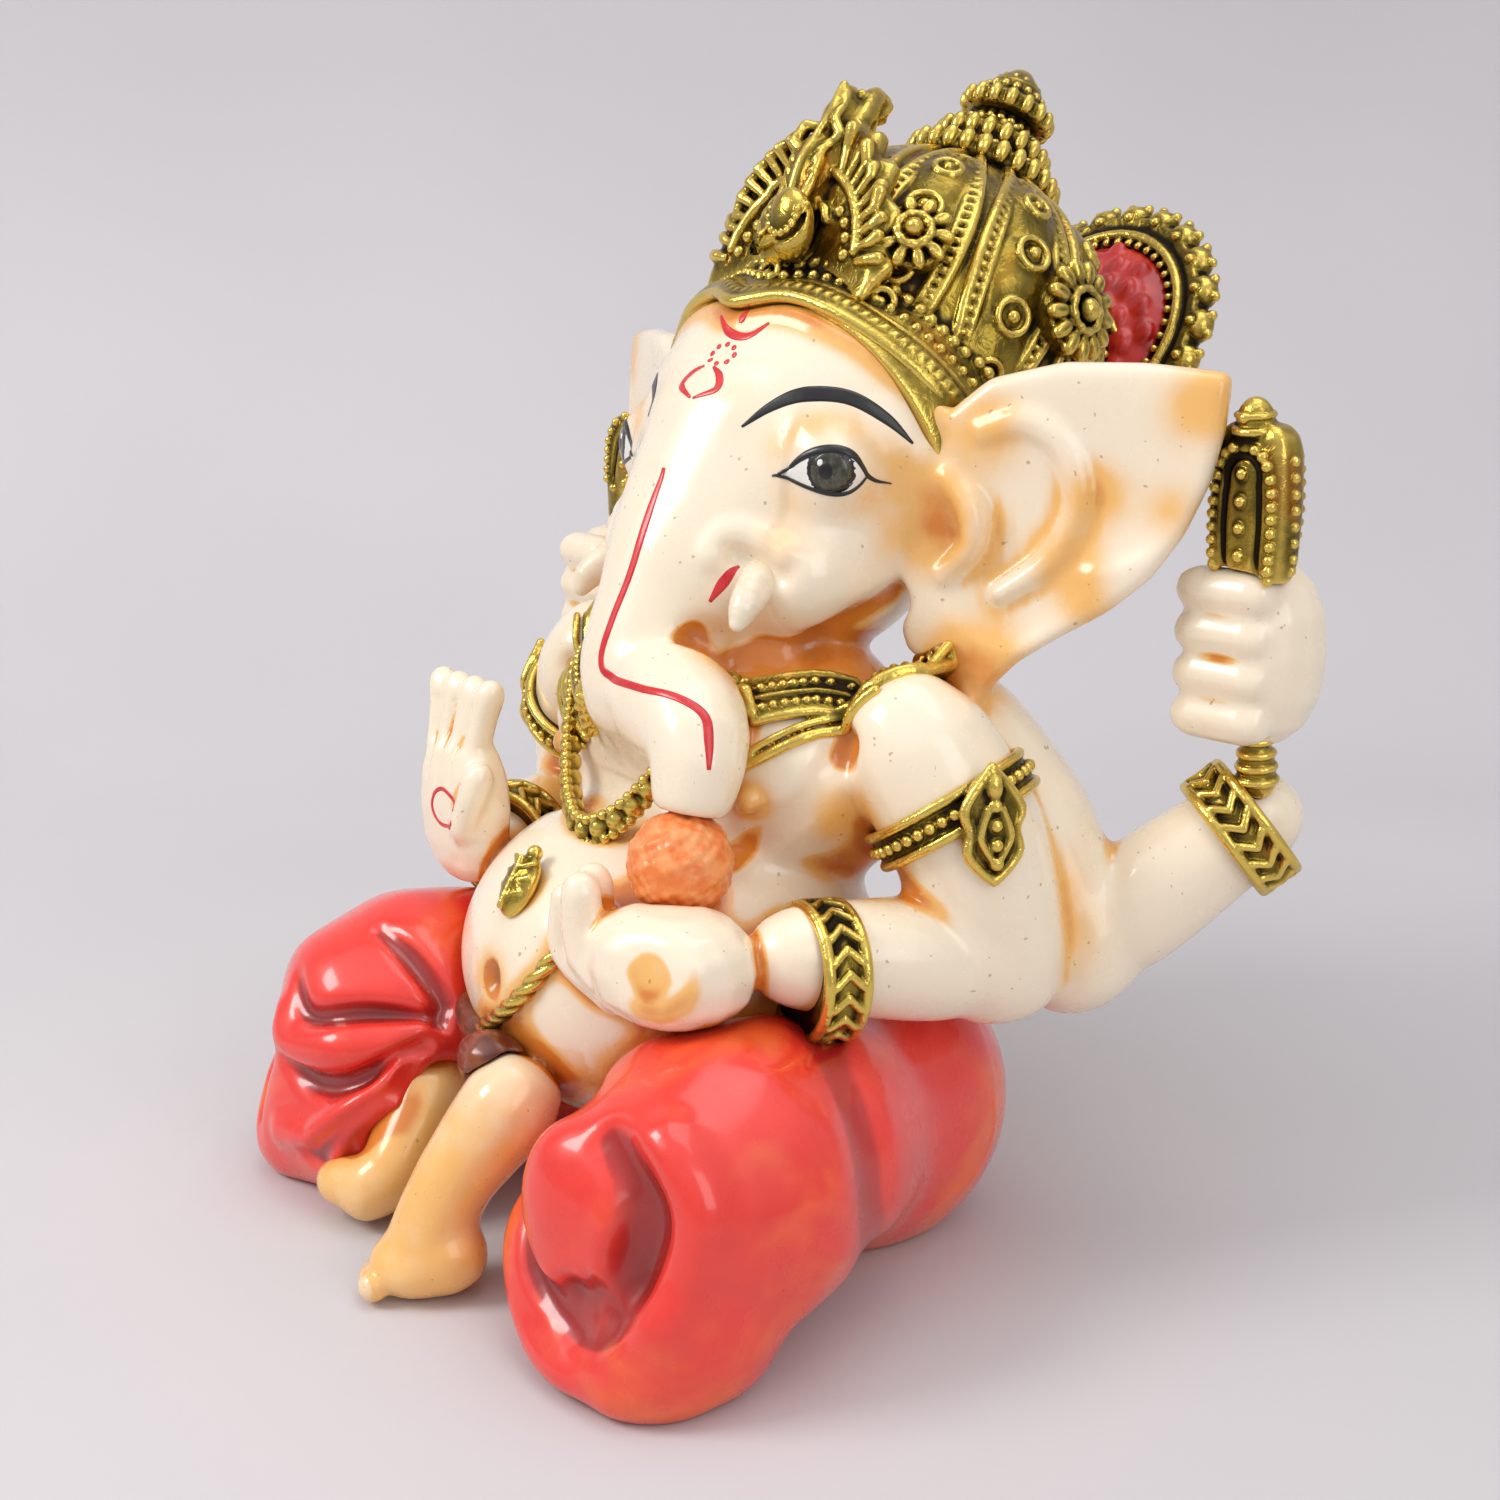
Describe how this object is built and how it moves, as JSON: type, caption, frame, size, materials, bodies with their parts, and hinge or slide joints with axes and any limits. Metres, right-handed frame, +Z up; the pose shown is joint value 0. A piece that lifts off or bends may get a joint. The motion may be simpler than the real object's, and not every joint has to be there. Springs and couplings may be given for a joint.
{
  "type": "ganesha idol",
  "caption": "Seated elephant-headed devotional figure in painted cast resin, with crown, halo, four arms and a flat base to rest on.",
  "frame": {"origin": "on the underside of the base, below the middle of the belly, on the figure's centre plane", "axes": "+Z up from the surface it stands on, -Y is the way the figure faces, +X is the figure's left"},
  "size_m": [0.191, 0.2122, 0.2302],
  "materials": {
    "skin_cream": "glossy cream enamel over cast resin, orange airbrushed creases",
    "cloth_red": "glossy red enamel over cast resin, maroon creases",
    "sash_dark": "dark maroon-brown enamel",
    "antique_gold": "antiqued metallic gold paint over cast resin, dark recesses",
    "tusk_ivory": "glossy ivory enamel",
    "sweet_orange": "grainy orange enamel",
    "halo_red": "red enamel over a veined casting"
  },
  "bodies": {
    "root": {"torso_belly": "skin_cream", "torso_chest": "skin_cream", "dhoti_seat": "cloth_red", "left_foot": "skin_cream", "right_foot": "skin_cream", "dhoti_left_leg": "cloth_red", "dhoti_right_leg": "cloth_red", "waist_knot": "sash_dark", "waist_belt": "sash_dark", "crown_dome": "antique_gold", "head": "skin_cream", "trunk_upper": "skin_cream", "sweet": "sweet_orange", "trunk_lower": "skin_cream", "left_tusk": "tusk_ivory", "right_tusk": "tusk_ivory", "left_ear": "skin_cream", "right_ear": "skin_cream", "crown_band": "antique_gold", "crown_fan": "antique_gold", "crown_boss": "antique_gold", "rosette_front_left": "antique_gold", "rosette_front_right": "antique_gold", "rosette_side_left": "antique_gold", "rosette_side_right": "antique_gold", "crown_tier_lower": "antique_gold", "crown_tier_upper": "antique_gold", "crown_finial": "antique_gold", "halo_stem": "antique_gold", "halo_disc": "halo_red", "halo_rim": "antique_gold", "front_left_upper_arm": "skin_cream", "front_right_upper_arm": "skin_cream", "rear_left_upper_arm": "skin_cream", "rear_right_upper_arm": "skin_cream", "front_left_forearm": "skin_cream", "front_right_forearm": "skin_cream", "rear_left_forearm": "skin_cream", "rear_right_forearm": "skin_cream", "front_right_hand": "skin_cream", "front_left_hand": "skin_cream", "rear_left_hand": "skin_cream", "rear_right_hand": "skin_cream", "left_goad_handle": "antique_gold", "left_goad_head": "antique_gold", "right_goad_handle": "antique_gold", "right_goad_head": "antique_gold", "front_left_bangle": "antique_gold", "front_right_bangle": "antique_gold", "rear_left_bangle": "antique_gold", "rear_right_bangle": "antique_gold", "left_armlet": "antique_gold", "right_armlet": "antique_gold", "collar_left": "antique_gold", "collar_right": "antique_gold", "bead_necklace": "antique_gold", "pendant": "antique_gold", "sacred_thread": "antique_gold"}
  },
  "joints": []
}
